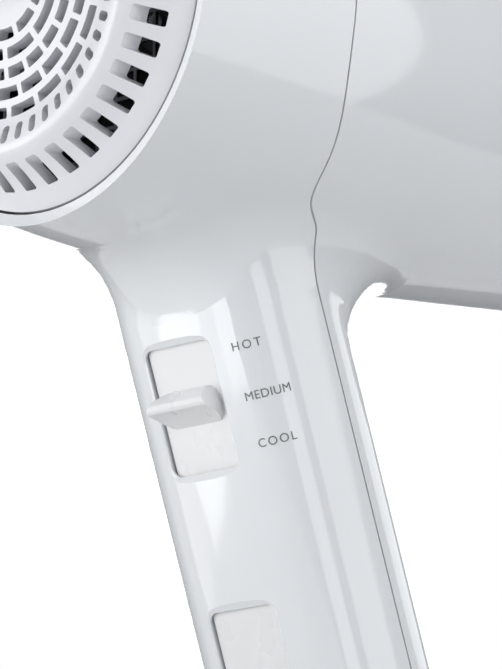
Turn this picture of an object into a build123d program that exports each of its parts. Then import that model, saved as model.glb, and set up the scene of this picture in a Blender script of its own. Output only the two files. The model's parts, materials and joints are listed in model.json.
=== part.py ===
"""Hair dryer: two moulded housings, rear grille, fan, heater, two slide switches and wiring.

Millimetres. The origin is the middle of the nozzle seat, on the barrel's axis. +X is the way the
air leaves, +Z is up and the handle hangs down. Stations along the barrel are counted forward from
the rear rim, and stations along the handle down from the point where the two axes cross.
"""

from build123d import *
from math import copysign, cos, pi, radians, sin
import os

os.makedirs("parts", exist_ok=True)

# ---- Driving dimensions -------------------------------------------------------------------------
BARREL_LENGTH = 170.0       # rear rim to mouth
SEAT_LENGTH = 12.0          # nozzle seat on the outlet collar
SEAT_R = 27.8               # nozzle seat radius
REAR_X = SEAT_LENGTH / 2 - BARREL_LENGTH
BARREL_R_AT_63 = 36.8       # barrel radius 63 mm forward of the rim
BARREL_TAPER = 0.077        # radius lost per millimetre of length
WALL = 2.0                  # moulded wall
GAP = 0.3                   # clearance between neighbouring pieces
HOUSING_END = 156.0         # station where the front housing ends and the collar begins
SHOULDER = 58.0             # station where the taper gives way to the rounded rear
RIM = (1.8, 35.9)           # station and radius of the rear housing's rim

HANDLE_TILT = 19.54         # degrees the handle leans forward
HANDLE_ROOT = 26.0          # barrel station where the handle's axis meets the barrel's
HANDLE_END = 176.0          # handle station of its bottom face
HALF_DEPTH = 13.7           # half the handle, front to rear
HALF_WIDTH = 17.05          # half the handle, side to side
JUNCTION_R = 15.5           # blend between handle and barrel
SQUARENESS = 2.9            # superellipse exponent of the handle's section

GRILLE_R = 33.55            # rim of the rear grille
OUTER_SLOTS = 40
RING_SLOTS = 20

SWITCH_STATION = 59.1       # middle of the temperature switch
POWER_STATION = 101.0       # middle of the power switch
WINDOW = (14.4, 20.2)       # switch window, across and along the handle
RECESS = 1.25               # depth of the slider plates below the housing
DETENT = 4.5                # travel from one switch position to the next

PLATE_LENGTH = WINDOW[1] + 2 * DETENT + 1.2
SCREW_STATIONS = (128.0, 149.0)
SCREW_R = 1.4
HEAD_R = 2.9
HEAD_SEAT = 23.6            # depth of the screw heads' seats below the handle's rear face
BOSS_R = 3.4
BOSS_TOP = 22.1             # depth that the screw bosses reach
CLAMP_STATION = 163.0       # cord clamp
CLAMP_REACH = 7.5           # its screws, off the handle's centre line

DUCT_R = 31.4               # outside of the fan duct
FAN_R = 29.2                # tip of the impeller
MOTOR_R = 13.4              # outside of the motor can
SHAFT_R = 1.6
BORE_R = 3.75               # hole for the mains cable

rear_normal = Vector(-cos(radians(HANDLE_TILT)), 0, -sin(radians(HANDLE_TILT)))
down_handle = Vector(sin(radians(HANDLE_TILT)), 0, -cos(radians(HANDLE_TILT)))
handle_root = Vector(REAR_X + HANDLE_ROOT, 0, 0)


def barrel_r(station):
    """Outside radius of the tapered barrel."""
    return BARREL_R_AT_63 - BARREL_TAPER * (station - 63)


def handle_plane(station, out=0.0):
    """Section plane of the handle: local x is -Y, local y points out of the rear face."""
    origin = handle_root + down_handle * station + rear_normal * out
    return Plane(origin=origin, x_dir=(0, -1, 0), z_dir=down_handle)


def face_plane(station, depth=0.0):
    """Plane on the handle's rear face, sunk by depth: local y points up the handle."""
    origin = handle_root + down_handle * station + rear_normal * (HALF_DEPTH - depth)
    return Plane(origin=origin, x_dir=(0, -1, 0), z_dir=rear_normal)


def barrel_plane(station):
    """Plane across the barrel, facing forward: local x is +Y, local y is +Z."""
    return Plane(origin=(REAR_X + station, 0, 0), x_dir=(0, 1, 0), z_dir=(1, 0, 0))


def turned(points):
    """Closed outline of (barrel station, radius) points, ready to revolve about the barrel."""
    with BuildSketch(Plane.XZ) as outline:
        with BuildLine():
            Polyline([(REAR_X + station, radius) for station, radius in points], close=True)
        make_face()
    return outline.sketch


def handle_section(inset):
    """Superellipse section of the handle, brought in by a distance."""
    depth, width = HALF_DEPTH - inset, HALF_WIDTH - inset
    points = []
    for step in range(32):
        turn = 2 * pi * step / 32
        across = copysign(abs(cos(turn)) ** (2 / SQUARENESS), cos(turn)) * width
        points.append((across, copysign(abs(sin(turn)) ** (2 / SQUARENESS), sin(turn)) * depth))
    with BuildSketch(handle_plane(6)) as section:
        with BuildLine():
            Spline(*points, periodic=True)
        make_face()
    return section.sketch


def barrel_skin(inset):
    """Solid barrel, inset from the outside by a distance."""
    front = (REAR_X + HOUSING_END, barrel_r(HOUSING_END) - inset)
    shoulder = (REAR_X + SHOULDER, barrel_r(SHOULDER) - inset)
    rim = (REAR_X + RIM[0], RIM[1] - inset)
    lip = REAR_X + RIM[0] + 0.8
    with BuildPart() as skin:
        with BuildSketch(Plane.XZ):
            with BuildLine():
                taper = Line(front, shoulder)
                TangentArc(shoulder, rim, tangent=taper % 1)
                Polyline(rim, (lip, rim[1] - WALL - 0.2), (lip, 0), (front[0], 0), front)
            make_face()
        revolve(axis=Axis.X)
    return skin.part


def handle_skin(inset):
    """Solid handle, inset from the outside by a distance."""
    with BuildPart() as skin:
        extrude(handle_section(inset), amount=HANDLE_END - inset - 6, dir=down_handle)
    return skin.part


def outer_skin():
    """Outside of both housings together, with the handle blended into the barrel."""
    with BuildPart() as skin:
        add(handle_skin(0))
        fillet(skin.faces().sort_by(Axis.Z)[0].edges(), radius=2.5)
        add(barrel_skin(0))
        junction = skin.edges().filter_by(lambda edge: edge.length < 150
                                          and -60 < edge.center().Z < -20
                                          and edge.center().X < REAR_X + 80)
        fillet(junction, radius=JUNCTION_R)
    return skin.part


def inner_skin(inset):
    """The same outside brought in by a distance: the cavity, or the middle of the wall."""
    with BuildPart() as skin:
        add(barrel_skin(inset))
        add(handle_skin(inset))
    return skin.part


def behind_seam(forward=0.0):
    """Everything to the rear of the housing seam, moved forward along the barrel by a distance."""
    bends = [(31.4, -6), (32.3, -15), (33.7, -20.4), (34.9, -25.7), (35.9, -29.5), (38.2, -31.7),
             (40.7, -33.6), (41.9, -36.4)]
    end = handle_root + down_handle * (HANDLE_END + 30) - rear_normal * 2.8
    bends = [(REAR_X + station + forward, height + forward / 2) for station, height in bends]
    with BuildPart() as region:
        with BuildSketch(Plane.XZ):
            with BuildLine():
                top = (bends[0][0], 60)
                Line(top, bends[0])
                Spline(*bends, tangents=[(0, -1), (down_handle.X, down_handle.Z)])
                foot = (end.X + forward, end.Z + forward / 2)
                Polyline(bends[-1], foot, (REAR_X - 40, foot[1]), (REAR_X - 40, 60), top)
            make_face()
        extrude(amount=60, both=True)
    return region.part


def slider_window(station):
    """Tool that cuts one switch window and the pocket in which its plate slides."""
    with BuildPart() as tool:
        with BuildSketch(face_plane(station, RECESS)):
            RectangleRounded(WINDOW[0], WINDOW[1], 1.6)
        extrude(amount=3)
        # The walls splay outward above a low step.
        with BuildSketch(face_plane(station, RECESS - GAP - 0.35)):
            RectangleRounded(WINDOW[0], WINDOW[1], 1.6)
        extrude(amount=2, taper=-62)
        with BuildSketch(face_plane(station, RECESS - GAP)):
            Rectangle(WINDOW[0] + 0.2, PLATE_LENGTH + 2 * DETENT + 1.0)
        extrude(amount=-(WALL + 0.5))
    return tool.part


outside = outer_skin()
cavity = inner_skin(WALL)

# ---- Housings -----------------------------------------------------------------------------------
with BuildPart() as rear_housing:
    add(outside)
    add(cavity, mode=Mode.SUBTRACT)
    add(behind_seam(), mode=Mode.INTERSECT)
    # Mouth for the rear grille, and the shoulder that it stops on.
    revolve(turned([(-10, 0), (-10, GRILLE_R + GAP), (13, GRILLE_R + GAP), (13, 0)]),
            axis=Axis.X, mode=Mode.SUBTRACT)
    revolve(turned([(13, 31.6), (13, 36.4), (15, 36.9), (15, 31.6)]), axis=Axis.X)
    for station in SCREW_STATIONS:
        with BuildSketch(face_plane(station, WALL - 0.5)):
            Circle(BOSS_R)
        extrude(amount=-(BOSS_TOP - WALL + 0.5))
        with BuildSketch(face_plane(station, WALL + 3)):
            Circle(SCREW_R + 0.05)
        extrude(amount=-2 * HALF_DEPTH, mode=Mode.SUBTRACT)
    # Two posts carry the cord clamp, on the far side of the cord from the rear wall.
    for side in (-CLAMP_REACH, CLAMP_REACH):
        with BuildSketch(face_plane(CLAMP_STATION, WALL - 0.6)):
            with Locations((side, 0)):
                Circle(2.4)
        extrude(amount=-(HALF_DEPTH + BORE_R - WALL + 0.6))
        with BuildSketch(face_plane(CLAMP_STATION, HALF_DEPTH - 3)):
            with Locations((side, 0)):
                Circle(1.25)
        extrude(amount=-HALF_DEPTH, mode=Mode.SUBTRACT)
    for station in (SWITCH_STATION, POWER_STATION):
        add(slider_window(station), mode=Mode.SUBTRACT)
    with BuildSketch(handle_plane(HANDLE_END - 8)):
        Circle(6.3)
    extrude(amount=20, mode=Mode.SUBTRACT)
rear_housing.part.label = "rear_housing"
export_step(rear_housing.part, "parts/rear_housing.step")

with BuildPart() as front_housing:
    add(outside)
    add(cavity, mode=Mode.SUBTRACT)
    add(behind_seam(GAP), mode=Mode.SUBTRACT)
    for station in SCREW_STATIONS:
        # Sleeve round the screw head, open to the front face.
        with BuildSketch(face_plane(station, HEAD_SEAT - 1.2)):
            Circle(HEAD_R + 1.3)
        extrude(amount=-(2 * HALF_DEPTH - WALL - HEAD_SEAT + 1.8))
        with BuildSketch(face_plane(station, HEAD_SEAT)):
            Circle(HEAD_R + 0.15)
        extrude(amount=-10, mode=Mode.SUBTRACT)
        with BuildSketch(face_plane(station, HALF_DEPTH)):
            Circle(SCREW_R + 0.2)
        extrude(amount=-30, mode=Mode.SUBTRACT)
    with BuildSketch(handle_plane(HANDLE_END - 8)):
        Circle(6.3)
    extrude(amount=20, mode=Mode.SUBTRACT)
front_housing.part.label = "front_housing"
export_step(front_housing.part, "parts/front_housing.step")

with BuildPart() as handle_screws:
    for station in SCREW_STATIONS:
        with BuildSketch(face_plane(station, HEAD_SEAT)):
            Circle(HEAD_R)
        extrude(amount=-2)
        with BuildSketch(face_plane(station, 8)):
            Circle(SCREW_R)
        extrude(amount=-(HEAD_SEAT - 8))
        with BuildSketch(face_plane(station, HEAD_SEAT + 1.2)):
            Rectangle(3.4, 0.7)
            Rectangle(0.7, 3.4)
        extrude(amount=-2, mode=Mode.SUBTRACT)
handle_screws.part.label = "handle_screws"
export_step(handle_screws.part, "parts/handle_screws.step")

# ---- Rear grille and its mesh -------------------------------------------------------------------
GRILLE_FACE = [(2.55, GRILLE_R), (1.7, 32.7), (0.0, 30.94), (-4.6, 27.5), (-6.3, 25.6), (-6.1, 23.8),
               (-5.2, 21.0), (-5.3, 17.5), (-5.9, 12.0), (-6.3, 6.0), (-6.4, 0.0)]
GRILLE_BACK = [(-4.0, 0.0), (-3.9, 6.0), (-3.5, 12.0), (-2.9, 17.5), (-2.8, 21.0), (-3.2, 24.0),
               (-1.9, 26.6), (2.2, 29.8), (3.8, 31.4)]
RINGS = ((18.9, 20.65, 9.0, RING_SLOTS, 1.0), (15.9, 17.76, 0.0, RING_SLOTS, 0.9),
         (12.9, 14.7, 9.0, RING_SLOTS, 0.9), (9.9, 11.7, 0.0, 10, 1.0), (6.9, 8.7, 18.0, 10, 1.0))

with BuildPart() as rear_grille:
    with BuildSketch(Plane.XZ):
        with BuildLine():
            face = Spline([(REAR_X + station, radius) for station, radius in GRILLE_FACE])
            back = Spline([(REAR_X + station, radius) for station, radius in GRILLE_BACK])
            Line(face @ 1, back @ 0)
            Polyline(back @ 1, (REAR_X + 12.5, 31.4), (REAR_X + 12.5, GRILLE_R), face @ 0)
        make_face()
    revolve(axis=Axis.X)
    # Outer radial slots, the short slots on the inner slope and the rings of arc slots.
    with BuildSketch(barrel_plane(-12)):
        with PolarLocations(29.23, OUTER_SLOTS, start_angle=0.64):
            RectangleRounded(3.42, 2.44, 0.35)
    extrude(amount=16.5, mode=Mode.SUBTRACT)
    with BuildSketch(barrel_plane(-12)):
        with PolarLocations(23.4, 48):
            RectangleRounded(2.9, 1.5, 0.7)
        for inner, outer, start, count, spoke in RINGS:
            with BuildSketch(mode=Mode.PRIVATE) as ring:
                Circle(outer)
                Circle(inner, mode=Mode.SUBTRACT)
                with PolarLocations((inner + outer) / 2, count, start_angle=start + 180 / count):
                    Rectangle(outer - inner + 1, spoke, mode=Mode.SUBTRACT)
                fillet(ring.vertices(), radius=0.3)
            add(ring.sketch)
    extrude(amount=12, mode=Mode.SUBTRACT)
rear_grille.part.label = "rear_grille"
export_step(rear_grille.part, "parts/rear_grille.step")

with BuildPart() as filter_mesh:
    with BuildSketch(barrel_plane(9.2)):
        Circle(30)
        with GridLocations(4.2, 4.2, 14, 14):
            Rectangle(3.6, 3.6, mode=Mode.SUBTRACT)
    extrude(amount=0.6)
    revolve(turned([(8.9, 29.4), (8.9, 31.35), (10.3, 31.35), (10.3, 29.4)]), axis=Axis.X)
filter_mesh.part.label = "filter_mesh"
export_step(filter_mesh.part, "parts/filter_mesh.step")

# ---- Fan duct, motor and impeller ---------------------------------------------------------------


def radial_plane(station, angle, radius):
    """Plane facing outward from the barrel's axis: local x is forward."""
    across, up = cos(radians(angle)), sin(radians(angle))
    return Plane(origin=(REAR_X + station, across * radius, up * radius), x_dir=(1, 0, 0),
                 z_dir=(0, across, up))


with BuildPart() as fan_duct:
    revolve(turned([(18, DUCT_R - 1.4), (18, 35), (19.5, 35), (19.5, DUCT_R), (44, DUCT_R), (56, 29),
                    (78, 29), (78, 27.6), (56, 27.6), (44, DUCT_R - 1.4)]), axis=Axis.X)
    revolve(turned([(42, MOTOR_R + 0.55), (42, 15.6), (74, 15.6), (74, MOTOR_R + 0.55)]),
            axis=Axis.X)
    for vane in range(7):
        with BuildSketch(radial_plane(66, vane * 360 / 7, 15)):
            Rectangle(15, 1.4, rotation=-22)
        extrude(amount=13)
fan_duct.part.label = "fan_duct"
export_step(fan_duct.part, "parts/fan_duct.step")

with BuildPart() as motor_mount:
    revolve(turned([(43, MOTOR_R), (43, MOTOR_R + 0.5), (72, MOTOR_R + 0.5), (72, MOTOR_R)]),
            axis=Axis.X)
motor_mount.part.label = "motor_mount"
export_step(motor_mount.part, "parts/motor_mount.step")

with BuildPart() as motor_can:
    revolve(turned([(41, 3), (41, MOTOR_R), (71, MOTOR_R), (71, 12.4), (42.5, 12.4), (42.5, 3)]),
            axis=Axis.X)
motor_can.part.label = "motor_can"
export_step(motor_can.part, "parts/motor_can.step")

with BuildPart() as motor_magnets:
    revolve(turned([(46, 9.3), (46, 12.4), (66, 12.4), (66, 9.3)]), axis=Axis.X)
    with BuildSketch(barrel_plane(40)):
        Rectangle(5, 40)
    extrude(amount=40, mode=Mode.SUBTRACT)
motor_magnets.part.label = "motor_magnets"
export_step(motor_magnets.part, "parts/motor_magnets.step")

with BuildPart() as motor_end_cap:
    revolve(turned([(70, 3), (70, 12.4), (71, 12.4), (71, MOTOR_R), (73, MOTOR_R), (73, 3)]),
            axis=Axis.X)
    with BuildSketch(barrel_plane(72.5)):
        with Locations((-6.5, -8), (6.5, -8)):
            Rectangle(0.8, 3.2)
    extrude(amount=3)
motor_end_cap.part.label = "motor_end_cap"
export_step(motor_end_cap.part, "parts/motor_end_cap.step")

with BuildPart() as rear_bearing:
    revolve(turned([(41, SHAFT_R + 0.05), (41, 3), (44.5, 3), (44.5, SHAFT_R + 0.05)]), axis=Axis.X)
rear_bearing.part.label = "rear_bearing"
export_step(rear_bearing.part, "parts/rear_bearing.step")

with BuildPart() as front_bearing:
    revolve(turned([(70.5, SHAFT_R + 0.05), (70.5, 3), (74, 3), (74, SHAFT_R + 0.05)]),
            axis=Axis.X)
front_bearing.part.label = "front_bearing"
export_step(front_bearing.part, "parts/front_bearing.step")

with BuildPart() as motor_brushes:
    for angle in (0, 180):
        with BuildSketch(radial_plane(68, angle, 3.9)):
            Rectangle(2, 3)
        extrude(amount=7)
motor_brushes.part.label = "motor_brushes"
export_step(motor_brushes.part, "parts/motor_brushes.step")

with BuildPart() as motor_shaft:
    revolve(turned([(25, 0), (25, 1.3), (25.3, SHAFT_R), (74.5, SHAFT_R), (74.5, 0)]), axis=Axis.X)
motor_shaft.part.label = "motor_shaft"
export_step(motor_shaft.part, "parts/motor_shaft.step")

with BuildPart() as armature:
    revolve(turned([(48, SHAFT_R), (48, 8.8), (64, 8.8), (64, SHAFT_R)]), axis=Axis.X)
    with BuildSketch(barrel_plane(46)):
        with PolarLocations(7.4, 5):
            Rectangle(4.4, 1.8)
    extrude(amount=22, mode=Mode.SUBTRACT)
armature.part.label = "armature"
export_step(armature.part, "parts/armature.step")

with BuildPart() as commutator:
    revolve(turned([(66, SHAFT_R), (66, 3.5), (69.5, 3.5), (69.5, SHAFT_R)]), axis=Axis.X)
commutator.part.label = "commutator"
export_step(commutator.part, "parts/commutator.step")

with BuildPart() as impeller:
    revolve(turned([(26.5, SHAFT_R), (26.5, 4.5), (28, 7.6), (31, 9.2), (39, 9.6), (39, SHAFT_R)]),
            axis=Axis.X)
    for blade in range(9):
        with BuildSketch(radial_plane(33, blade * 40, 8.2)):
            Rectangle(12, 1.4, rotation=38)
        with BuildSketch(radial_plane(33, blade * 40 + 8, FAN_R)):
            Rectangle(11.5, 1.1, rotation=58)
        loft()
impeller.part.label = "impeller"
export_step(impeller.part, "parts/impeller.step")

# ---- Heater -------------------------------------------------------------------------------------


def bore_r(station):
    """Inside radius of the front housing's barrel."""
    return barrel_r(station) - WALL


def coil(radius, wire_r):
    """Heating wire wound round the frame as a helix."""
    with BuildPart() as winding:
        with BuildLine() as path:
            Helix(pitch=9, height=45, radius=radius, center=(REAR_X + 97, 0, 0), direction=(1, 0, 0))
        with BuildSketch(Plane(origin=path.line @ 0, z_dir=path.line % 0)):
            Circle(wire_r)
        sweep()
    return winding.part


with BuildPart() as heater_sleeve:
    revolve(turned([(82, bore_r(82) - 0.8), (82, bore_r(82) - GAP), (148, bore_r(148) - GAP),
                    (148, bore_r(148) - 0.8)]), axis=Axis.X)
heater_sleeve.part.label = "heater_sleeve"
export_step(heater_sleeve.part, "parts/heater_sleeve.step")

with BuildPart() as heater_frame:
    for angle in (0, 60, 120):
        tilt = radians(angle)
        with BuildSketch(Plane(origin=(REAR_X, 0, 0), x_dir=(1, 0, 0),
                               z_dir=(0, -sin(tilt), cos(tilt)))):
            with BuildLine():
                rear, front = bore_r(84) - 1.1, bore_r(147) - 1.1
                Polyline((84, -rear), (84, rear), (147, front), (147, -front), close=True)
            make_face()
        extrude(amount=0.4, both=True)
    for radius in (11.5, 20.5):
        add(coil(radius, 1.3), mode=Mode.SUBTRACT)
heater_frame.part.label = "heater_frame"
export_step(heater_frame.part, "parts/heater_frame.step")

outer_coil = coil(20.5, 1.0)
outer_coil.label = "outer_heating_coil"
export_step(outer_coil, "parts/outer_heating_coil.step")
inner_coil = coil(11.5, 1.0)
inner_coil.label = "inner_heating_coil"
export_step(inner_coil, "parts/inner_heating_coil.step")

with BuildPart() as thermostat:
    with BuildSketch(radial_plane(89.5, 270, 18)):
        RectangleRounded(8, 9, 1)
    extrude(amount=4)
thermostat.part.label = "thermostat"
export_step(thermostat.part, "parts/thermostat.step")

with BuildPart() as thermal_fuse:
    with BuildSketch(Plane(origin=(REAR_X + 86, -7, -19), x_dir=(0, 1, 0), z_dir=(1, 0, 0))):
        Circle(1.6)
    extrude(amount=8)
thermal_fuse.part.label = "thermal_fuse"
export_step(thermal_fuse.part, "parts/thermal_fuse.step")

# ---- Outlet -------------------------------------------------------------------------------------
COLLAR_BORE = 25.8

with BuildPart() as outlet_collar:
    revolve(turned([(150.5, COLLAR_BORE), (150.5, bore_r(156) - GAP / 2), (HOUSING_END + GAP,
                    bore_r(156) - GAP / 2), (HOUSING_END + GAP, barrel_r(HOUSING_END)),
                    (BARREL_LENGTH - SEAT_LENGTH, barrel_r(HOUSING_END)),
                    (BARREL_LENGTH - SEAT_LENGTH, SEAT_R), (BARREL_LENGTH, SEAT_R),
                    (BARREL_LENGTH, COLLAR_BORE)]), axis=Axis.X)
outlet_collar.part.label = "outlet_collar"
export_step(outlet_collar.part, "parts/outlet_collar.step")

with BuildPart() as outlet_grille:
    with BuildSketch(barrel_plane(152)):
        Circle(COLLAR_BORE)
        for inner, outer in ((19.2, 23.8), (12.8, 17.8), (6.4, 11.4)):
            with BuildSketch(mode=Mode.PRIVATE) as ring:
                Circle(outer)
                Circle(inner, mode=Mode.SUBTRACT)
                with PolarLocations((inner + outer) / 2, 8):
                    Rectangle(outer - inner + 1, 1.4, mode=Mode.SUBTRACT)
            add(ring.sketch, mode=Mode.SUBTRACT)
        Circle(2.0, mode=Mode.SUBTRACT)
    extrude(amount=2.4)
outlet_grille.part.label = "outlet_grille"
export_step(outlet_grille.part, "parts/outlet_grille.step")

# ---- Slide switches -----------------------------------------------------------------------------
FIN_HEIGHT = 4.1
FIN_FOOT = (12.8, 6.2)      # across and along the handle
FIN_CREST = (0.45, 1.85)    # crest of the fin, up the handle from its middle
PLATE_DEPTH = 1.4
STEM_END = 5.6              # depth of the slider's stem
TRAY_TOP = RECESS + PLATE_DEPTH + GAP
BOARD_DEPTH = 8.0


def fin_plane(station):
    """Plane along the handle through a slider's fin: local x up the handle, local y out."""
    foot = face_plane(station, RECESS).origin
    return Plane(origin=foot, x_dir=-down_handle, z_dir=(0, -1, 0))


def slider(station):
    """Slider plate with a fin outside, hollowed for the thumb below its crest, and a stem inside."""
    with BuildPart() as made:
        with BuildSketch(fin_plane(station)):
            with BuildLine():
                foot, edge = FIN_FOOT[1] / 2, FIN_HEIGHT - 0.2
                lower = ThreePointArc((-foot, -0.3), (-1.15, 1.65), (FIN_CREST[0], edge))
                top = ThreePointArc(lower @ 1, (sum(FIN_CREST) / 2, FIN_HEIGHT), (FIN_CREST[1], edge))
                upper = ThreePointArc(top @ 1, (2.75, 2.0), (foot, -0.3))
                Line(upper @ 1, lower @ 0)
            make_face()
        extrude(amount=FIN_FOOT[0] / 2, both=True)
        with BuildSketch(face_plane(station, RECESS + 1), mode=Mode.PRIVATE) as footprint:
            RectangleRounded(FIN_FOOT[0], FIN_FOOT[1], 2.9)
        extrude(footprint.sketch, amount=FIN_HEIGHT + 2, mode=Mode.INTERSECT)
        with BuildSketch(face_plane(station, RECESS)):
            Rectangle(WINDOW[0] - 2 * GAP, PLATE_LENGTH)
        extrude(amount=-PLATE_DEPTH)
        with BuildSketch(face_plane(station, RECESS + PLATE_DEPTH)):
            Rectangle(4, 3)
        extrude(amount=-(STEM_END - RECESS - PLATE_DEPTH))
    return made.part


def contact_bridge(station):
    """Sliding brass bridge under a slider's stem."""
    with BuildPart() as made:
        with BuildSketch(face_plane(station, STEM_END)):
            Rectangle(8, 5)
        extrude(amount=-0.6)
    return made.part


def switch_body(station):
    """Open tray in which the bridge slides over the terminals."""
    with BuildPart() as made:
        with BuildSketch(face_plane(station, TRAY_TOP)):
            Rectangle(13, 28)
        extrude(amount=-(BOARD_DEPTH - TRAY_TOP))
        with BuildSketch(face_plane(station, TRAY_TOP)):
            Rectangle(11, 26)
        extrude(amount=-(BOARD_DEPTH - TRAY_TOP - 1), mode=Mode.SUBTRACT)
    return made.part


def terminals(station):
    """Three brass pads, one for each switch position."""
    with BuildPart() as made:
        with BuildSketch(face_plane(station, BOARD_DEPTH - 1.5)):
            with GridLocations(1, DETENT, 1, 3):
                Rectangle(7, 3)
        extrude(amount=-0.5)
    return made.part


for name, station, rest in (("temp", SWITCH_STATION, 0), ("power", POWER_STATION, DETENT)):
    pieces = {"slider": slider(station + rest), "contact": contact_bridge(station + rest),
              "switch_body": switch_body(station), "terminals": terminals(station)}
    for piece, shape in pieces.items():
        shape.label = f"{name}_{piece}"
        export_step(shape, f"parts/{name}_{piece}.step")

# ---- Switch board and what it carries -----------------------------------------------------------
BOARD_ENDS = (44.0, 122.0)  # handle stations
BOARD_BACK = BOARD_DEPTH + 1.6

with BuildPart() as switch_board:
    with BuildSketch(face_plane(sum(BOARD_ENDS) / 2, BOARD_DEPTH)):
        RectangleRounded(22, BOARD_ENDS[1] - BOARD_ENDS[0], 1.5)
    extrude(amount=-1.6)
switch_board.part.label = "switch_board"
export_step(switch_board.part, "parts/switch_board.step")

with BuildPart() as suppression_capacitor:
    with BuildSketch(face_plane(96, BOARD_BACK)):
        RectangleRounded(13, 15, 0.8)
    extrude(amount=-7)
suppression_capacitor.part.label = "suppression_capacitor"
export_step(suppression_capacitor.part, "parts/suppression_capacitor.step")

with BuildPart() as rectifier_diodes:
    for station in (70, 75, 80, 85):
        with BuildSketch(Plane(origin=face_plane(station, BOARD_BACK + 1.7).origin + Vector(0, 3.5, 0),
                               x_dir=down_handle, z_dir=(0, -1, 0))):
            Circle(1.6)
        extrude(amount=7)
rectifier_diodes.part.label = "rectifier_diodes"
export_step(rectifier_diodes.part, "parts/rectifier_diodes.step")

# ---- Leads --------------------------------------------------------------------------------------
LEAD_R = 0.9


def lead(route, side, bend):
    """Insulated lead through (barrel station, height) points, off the middle plane by side."""
    with BuildPart() as wire:
        with BuildLine() as path:
            FilletPolyline([(REAR_X + station, side, height) for station, height in route],
                           radius=bend)
        with BuildSketch(Plane(origin=path.line @ 0, z_dir=path.line % 0)):
            Circle(LEAD_R)
        sweep()
    return wire.part


def pair(name, routes, bend):
    """Two leads side by side, written as one group."""
    with BuildPart() as group:
        for side, route in routes:
            add(lead(route, side, bend))
    group.part.label = name
    export_step(group.part, f"parts/{name}.step")


heater_route = [(42.2, -53.7), (43.4, -45.5), (46.4, -34.0), (52.5, -31.4), (75.5, -30.8),
                (80.1, -30.2), (81.5, -19.5), (84.6, -18.6)]
motor_route = [(42.2, -53.7), (43.4, -45.5), (46.4, -34.0), (52.5, -31.4), (75.5, -30.1),
               (79.9, -29.6), (79.9, -10.5), (76.4, -8.0)]
pair("heater_leads", [(side, heater_route) for side in (-2.5, 2.5)], 1.6)
pair("motor_leads", [(side, motor_route) for side in (-6.5, 6.5)], 1.6)


def handle_point(station, depth):
    """(barrel station, height) of a point inside the handle."""
    spot = face_plane(station, depth).origin
    return (spot.X - REAR_X, spot.Z)


supply_route = [handle_point(116, BOARD_BACK + 1.1), handle_point(130, BOARD_BACK + 2.2),
                handle_point(146, BOARD_BACK + 3.5), handle_point(158, HALF_DEPTH)]
pair("supply_leads", [(side, supply_route) for side in (-6.0, 6.0)], 5)

# ---- Cord entry ---------------------------------------------------------------------------------
BUSH_FLANGE_R = 7.8

with BuildPart() as cord_bush:
    with BuildSketch(handle_plane(HANDLE_END - WALL - 2.4)):
        Circle(BUSH_FLANGE_R)
    extrude(amount=2.1)
    with BuildSketch(handle_plane(HANDLE_END - WALL - 1)):
        Circle(6.1)
    extrude(amount=WALL + 2)
    with BuildSketch(handle_plane(HANDLE_END + GAP)):
        Circle(BUSH_FLANGE_R)
    extrude(amount=4.5, taper=12)
    with BuildSketch(handle_plane(HANDLE_END - 10)):
        Circle(BORE_R)
    extrude(amount=30, mode=Mode.SUBTRACT)
cord_bush.part.label = "cord_bush"
export_step(cord_bush.part, "parts/cord_bush.step")

with BuildPart() as cord_clamp:
    with BuildSketch(face_plane(CLAMP_STATION, HALF_DEPTH + BORE_R)):
        RectangleRounded(20, 6, 1.2)
    extrude(amount=-2.6)
    with BuildSketch(face_plane(CLAMP_STATION, HALF_DEPTH)):
        with Locations((-CLAMP_REACH, 0), (CLAMP_REACH, 0)):
            Circle(1.4)
    extrude(amount=-10, mode=Mode.SUBTRACT)
cord_clamp.part.label = "cord_clamp"
export_step(cord_clamp.part, "parts/cord_clamp.step")

with BuildPart() as clamp_screws:
    for side in (-CLAMP_REACH, CLAMP_REACH):
        with BuildSketch(face_plane(CLAMP_STATION, HALF_DEPTH + BORE_R + 2.6)):
            with Locations((side, 0)):
                Circle(2.2)
        extrude(amount=-1.5)
        with BuildSketch(face_plane(CLAMP_STATION, HALF_DEPTH - 1)):
            with Locations((side, 0)):
                Circle(1.2)
        extrude(amount=-(BORE_R + 3.6))
clamp_screws.part.label = "clamp_screws"
export_step(clamp_screws.part, "parts/clamp_screws.step")
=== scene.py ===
"""Hair dryer: materials, printed labels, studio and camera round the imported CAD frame. Metres."""

import json
import math

import bpy
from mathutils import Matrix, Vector


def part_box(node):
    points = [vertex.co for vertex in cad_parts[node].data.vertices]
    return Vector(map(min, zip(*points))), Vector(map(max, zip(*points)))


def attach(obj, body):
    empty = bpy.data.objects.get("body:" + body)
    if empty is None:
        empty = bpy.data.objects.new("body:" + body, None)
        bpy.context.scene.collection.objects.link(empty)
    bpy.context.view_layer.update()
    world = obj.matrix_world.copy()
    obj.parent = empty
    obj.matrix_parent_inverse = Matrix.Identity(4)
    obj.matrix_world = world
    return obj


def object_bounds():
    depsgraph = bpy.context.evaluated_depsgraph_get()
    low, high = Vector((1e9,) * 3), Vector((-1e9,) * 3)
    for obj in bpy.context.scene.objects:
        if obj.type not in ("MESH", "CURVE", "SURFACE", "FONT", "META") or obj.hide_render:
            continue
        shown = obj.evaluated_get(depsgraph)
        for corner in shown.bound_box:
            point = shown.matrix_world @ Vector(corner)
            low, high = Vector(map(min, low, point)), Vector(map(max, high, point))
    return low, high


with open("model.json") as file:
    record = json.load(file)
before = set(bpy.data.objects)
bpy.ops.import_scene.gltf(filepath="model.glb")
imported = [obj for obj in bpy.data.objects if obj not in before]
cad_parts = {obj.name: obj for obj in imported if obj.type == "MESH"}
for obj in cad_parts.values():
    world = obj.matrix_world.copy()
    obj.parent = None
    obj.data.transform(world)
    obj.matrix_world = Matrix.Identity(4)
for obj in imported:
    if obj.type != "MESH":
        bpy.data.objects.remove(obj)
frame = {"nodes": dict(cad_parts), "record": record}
cad_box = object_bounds()
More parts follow.
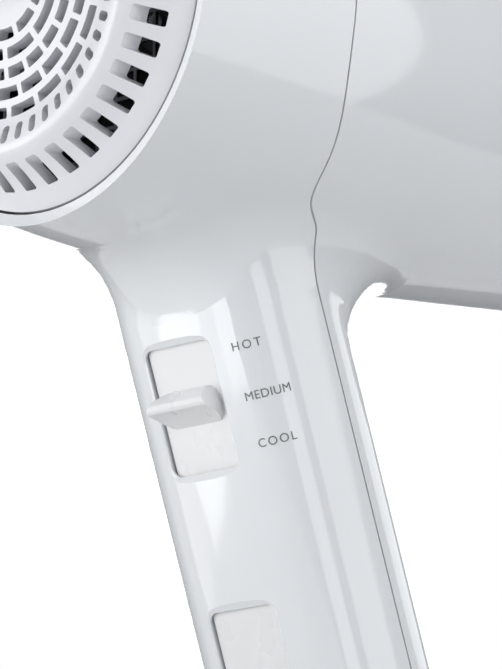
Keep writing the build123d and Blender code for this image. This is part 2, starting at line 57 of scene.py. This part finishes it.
nodes = frame["nodes"]
scene = bpy.context.scene

MM = 0.001
MOUTH_TO_RIM = 170 * MM                 # mouth to rear rim, along the barrel
HANDLE_ROOT = 26 * MM                   # rear rim to the handle's axis, on the barrel's axis
HANDLE_TILT = math.radians(19.54)
HALF_DEPTH, HALF_WIDTH = 13.7 * MM, 17.05 * MM
SQUARENESS = 2.9                        # superellipse exponent of the handle's section
CAP_RATIO = 0.7                         # height of a capital over the font's size
INK_LIFT = 0.03 * MM                    # print above the handle's surface
FLOOR_R = 0.34
FLOOR_GAP = 0.2 * MM                    # floor below the lowest point of the object

rim_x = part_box("outlet_collar")[1].x - MOUTH_TO_RIM
down_handle = Vector((math.sin(HANDLE_TILT), 0, -math.cos(HANDLE_TILT)))
rear_normal = Vector((-math.cos(HANDLE_TILT), 0, -math.sin(HANDLE_TILT)))
handle_root = Vector((rim_x + HANDLE_ROOT, 0, 0))


# ---- Camera -------------------------------------------------------------------------------------
AZIMUTH, ELEVATION = math.radians(-44.5), math.radians(-12.3)
DISTANCE = 1.0
TARGET = Vector((rim_x + 46.3 * MM, 0, -46.35 * MM))
LENS = 344.7

camera_data = bpy.data.cameras.new("camera")
camera = bpy.data.objects.new("camera", camera_data)
scene.collection.objects.link(camera)
camera_data.sensor_width = 36
camera_data.lens = LENS
camera_data.clip_start, camera_data.clip_end = 0.01, 50
toward_camera = Vector((math.sin(AZIMUTH) * math.cos(ELEVATION),
                        -math.cos(AZIMUTH) * math.cos(ELEVATION), math.sin(ELEVATION)))
camera.location = TARGET + toward_camera * DISTANCE
camera.rotation_mode = "QUATERNION"
camera.rotation_quaternion = (-toward_camera).to_track_quat("-Z", "Y")
scene.camera = camera


# ---- Materials ----------------------------------------------------------------------------------
def material(name, colour, roughness, spread=0.05, metallic=0.0, coat=0.0, grain=900.0,
             bump=0.02, vary=0.03, patch=45.0, subsurface=0.0):
    """Principled material with noise in its colour, its roughness and its fine surface."""
    made = bpy.data.materials.new(name)
    made.use_nodes = True
    tree = made.node_tree
    shader = tree.nodes["Principled BSDF"]
    shader.inputs["Metallic"].default_value = metallic
    shader.inputs["Coat Weight"].default_value = coat
    shader.inputs["Coat Roughness"].default_value = 0.06
    shader.inputs["Subsurface Weight"].default_value = subsurface
    shader.inputs["Subsurface Radius"].default_value = (0.004, 0.004, 0.004)
    place = tree.nodes.new("ShaderNodeTexCoord")

    def noise(scale, detail):
        node = tree.nodes.new("ShaderNodeTexNoise")
        node.inputs["Scale"].default_value = scale
        node.inputs["Detail"].default_value = detail
        tree.links.new(place.outputs["Object"], node.inputs["Vector"])
        return node.outputs["Fac"]

    def ramp(source, low, high):
        node = tree.nodes.new("ShaderNodeMapRange")
        node.inputs["From Min"].default_value = 0.3
        node.inputs["From Max"].default_value = 0.7
        node.inputs["To Min"].default_value = low
        node.inputs["To Max"].default_value = high
        tree.links.new(source, node.inputs["Value"])
        return node.outputs["Result"]

    blotches = noise(patch, 4)
    tint = tree.nodes.new("ShaderNodeMix")
    tint.data_type = "RGBA"
    tint.inputs[6].default_value = (*[c * (1 - vary) for c in colour], 1)
    tint.inputs[7].default_value = (*[min(1, c * (1 + vary)) for c in colour], 1)
    tree.links.new(ramp(blotches, 0, 1), tint.inputs[0])
    tree.links.new(tint.outputs[2], shader.inputs["Base Color"])
    wear = noise(patch * 4, 6)
    tree.links.new(ramp(wear, roughness - spread, roughness + spread), shader.inputs["Roughness"])
    fine = noise(grain, 3)
    relief = tree.nodes.new("ShaderNodeBump")
    relief.inputs["Strength"].default_value = bump
    relief.inputs["Distance"].default_value = 0.0004
    tree.links.new(fine, relief.inputs["Height"])
    tree.links.new(relief.outputs["Normal"], shader.inputs["Normal"])
    return made


looks = {
    "housing": material("white_gloss", (0.80, 0.815, 0.83), 0.10, 0.02, coat=0.9, bump=0.006,
                        vary=0.008, subsurface=0.05),
    "grille": material("white_grille", (0.80, 0.80, 0.83), 0.2, 0.04, coat=0.4, bump=0.015,
                       vary=0.01, subsurface=0.08),
    "switch": material("white_switch", (0.80, 0.80, 0.80), 0.3, 0.05, bump=0.03, vary=0.01,
                       subsurface=0.08),
    "inner_plastic": material("black_moulding", (0.022, 0.022, 0.025), 0.45, 0.08, vary=0.15,
                              bump=0.08),
    "mesh": material("mesh_wire", (0.16, 0.16, 0.17), 0.35, 0.1, metallic=0.9, vary=0.1),
    "motor_steel": material("zinc_plate", (0.56, 0.57, 0.58), 0.32, 0.1, metallic=1.0, vary=0.08),
    "ferrite": material("ferrite", (0.035, 0.034, 0.036), 0.7, 0.1, vary=0.2, bump=0.2),
    "steel": material("steel", (0.60, 0.60, 0.61), 0.28, 0.08, metallic=1.0, vary=0.06),
    "copper": material("windings", (0.62, 0.27, 0.13), 0.3, 0.1, metallic=0.9, vary=0.15),
    "brass": material("brass", (0.72, 0.54, 0.24), 0.28, 0.08, metallic=1.0, vary=0.08),
    "carbon": material("carbon", (0.02, 0.02, 0.02), 0.6, 0.1, vary=0.2, bump=0.15),
    "rubber": material("pale_rubber", (0.62, 0.63, 0.64), 0.5, 0.08, vary=0.03, bump=0.1),
    "mica": material("mica", (0.50, 0.43, 0.30), 0.4, 0.12, vary=0.18, bump=0.15),
    "heating_wire": material("heating_wire", (0.30, 0.28, 0.27), 0.4, 0.12, metallic=0.9,
                             vary=0.25),
    "outlet_black": material("outlet_black", (0.02, 0.02, 0.022), 0.5, 0.08, vary=0.2, bump=0.1),
    "board": material("phenolic_board", (0.42, 0.28, 0.13), 0.45, 0.1, vary=0.1),
    "component": material("component", (0.03, 0.03, 0.035), 0.4, 0.1, vary=0.2),
    "lead": material("lead_sleeve", (0.60, 0.60, 0.61), 0.38, 0.08, vary=0.04),
}
for part in frame["record"]["subparts"]:
    mesh = nodes[part["node"]].data
    mesh.materials.clear()
    mesh.materials.append(looks[part["material_slot"]])


# ---- Printed labels -----------------------------------------------------------------------------
def section_table(steps=400):
    """(arc length, across, out) round the handle's section, from the rear crown to the side."""
    rows, length, last = [], 0.0, None
    for step in range(steps + 1):
        turn = math.pi / 2 * step / steps
        spot = (HALF_WIDTH * math.sin(turn) ** (2 / SQUARENESS),
                HALF_DEPTH * max(math.cos(turn), 0) ** (2 / SQUARENESS))
        if last:
            length += math.dist(spot, last)
        rows.append((length, *spot))
        last = spot
    return rows


section = section_table()


def on_handle(arc, station, lift):
    """Point on the handle's surface, arc round from the rear crown towards -Y."""
    for low, high in zip(section, section[1:]):
        if high[0] >= arc:
            break
    share = (arc - low[0]) / (high[0] - low[0])
    across = low[1] + (high[1] - low[1]) * share
    out = low[2] + (high[2] - low[2]) * share
    away = Vector((low[2] - high[2], high[1] - low[1])).normalized()
    across, out = across + away.x * lift, out + away.y * lift
    return handle_root + down_handle * station + rear_normal * out + Vector((0, -across, 0))


ink = material("grey_ink", (0.16, 0.17, 0.18), 0.5, 0.05, vary=0.2, patch=900.0, bump=0.0)


def label(name, words, arc, station, height, spacing):
    """Words printed on the handle, starting at arc, with their feet at station."""
    curve = bpy.data.curves.new(name, "FONT")
    curve.body = words
    curve.size = height / CAP_RATIO
    curve.space_character = spacing
    text = bpy.data.objects.new(name, curve)
    scene.collection.objects.link(text)
    bpy.context.view_layer.update()
    flat = text.evaluated_get(bpy.context.evaluated_depsgraph_get())
    mesh = bpy.data.meshes.new_from_object(flat)
    bpy.data.objects.remove(text)
    for vertex in mesh.vertices:
        vertex.co = on_handle(arc + vertex.co.x, station - vertex.co.y, INK_LIFT)
    mesh.materials.clear()
    mesh.materials.append(ink)
    printed = bpy.data.objects.new(name, mesh)
    scene.collection.objects.link(printed)
    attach(printed, "dryer")


LABEL_HEIGHT = 1.35 * MM
for name, words, arc, station, spacing in (("label_hot", "HOT", 10.9, 51.8, 1.35),
                                           ("label_medium", "MEDIUM", 11.1, 59.7, 1.05),
                                           ("label_cool", "COOL", 11.4, 67.1, 1.25)):
    label(name, words, arc * MM, station * MM, LABEL_HEIGHT, spacing)


# ---- Studio -------------------------------------------------------------------------------------
def area_light(name, position, target, size, power, colour):
    """Rectangular softbox at position, facing target."""
    data = bpy.data.lights.new(name, "AREA")
    data.shape = "RECTANGLE"
    data.size, data.size_y = size
    data.energy = power
    data.color = colour
    lamp = bpy.data.objects.new(name, data)
    scene.collection.objects.link(lamp)
    lamp.location = position
    lamp.rotation_mode = "QUATERNION"
    lamp.rotation_quaternion = (target - position).to_track_quat("-Z", "Y")


middle = (cad_box[0] + cad_box[1]) / 2


def softbox(name, around, up, distance, size, power, colour=(0.97, 0.985, 1.0)):
    """Softbox aimed at the object; around is in degrees from the camera's azimuth, up from level."""
    azimuth, elevation = AZIMUTH + math.radians(around), math.radians(up)
    away = Vector((math.sin(azimuth) * math.cos(elevation),
                   -math.cos(azimuth) * math.cos(elevation), math.sin(elevation)))
    area_light(name, middle + away * distance, middle, size, power, colour)


softbox("rear_left", -110, 10, 0.8, (0.5, 0.8), 0.4)
softbox("left_low", -75, -10, 0.8, (0.5, 0.8), 2.5)
softbox("left_strip", -45, 5, 0.8, (0.35, 0.8), 2.6)
softbox("above", 15, 50, 0.8, (0.5, 0.5), 1.2)
softbox("right_strip", 35, 10, 0.8, (0.35, 0.8), 1.2)
softbox("right_high", 60, 35, 0.8, (0.5, 0.6), 1.05)
softbox("right_level", 75, 0, 0.8, (0.4, 0.8), 1.3)
softbox("below_right", 20, -40, 0.6, (0.3, 0.4), 2.8)
softbox("below_left", -90, -25, 0.5, (0.3, 0.5), 0.45, (1.0, 0.98, 0.95))
# Fills for the side that faces away from the camera.
softbox("far_side", 180, 20, 0.9, (0.8, 0.8), 3.0)
softbox("far_right", 125, 30, 0.9, (0.5, 0.6), 1.2)

world = bpy.data.worlds.new("studio")
scene.world = world
world.use_nodes = True
tree = world.node_tree
backdrop = tree.nodes["Background"]
backdrop.inputs["Color"].default_value = (0.93, 0.95, 1.0, 1)
backdrop.inputs["Strength"].default_value = 0.18
seen = tree.nodes.new("ShaderNodeBackground")
seen.inputs["Color"].default_value = (1, 1, 1, 1)
seen.inputs["Strength"].default_value = 1.0
path = tree.nodes.new("ShaderNodeLightPath")
either = tree.nodes.new("ShaderNodeMixShader")
tree.links.new(path.outputs["Is Camera Ray"], either.inputs[0])
tree.links.new(backdrop.outputs[0], either.inputs[1])
tree.links.new(seen.outputs[0], either.inputs[2])
tree.links.new(either.outputs[0], tree.nodes["World Output"].inputs["Surface"])
scene.view_settings.view_transform = "Standard"

bpy.ops.mesh.primitive_circle_add(vertices=96, radius=FLOOR_R, fill_type="NGON",
                                  location=(middle.x, middle.y, cad_box[0].z - FLOOR_GAP))
floor = bpy.context.object
floor.name = "floor"
floor.data.materials.append(material("pale_floor", (0.80, 0.80, 0.80), 0.6, 0.05, vary=0.01))
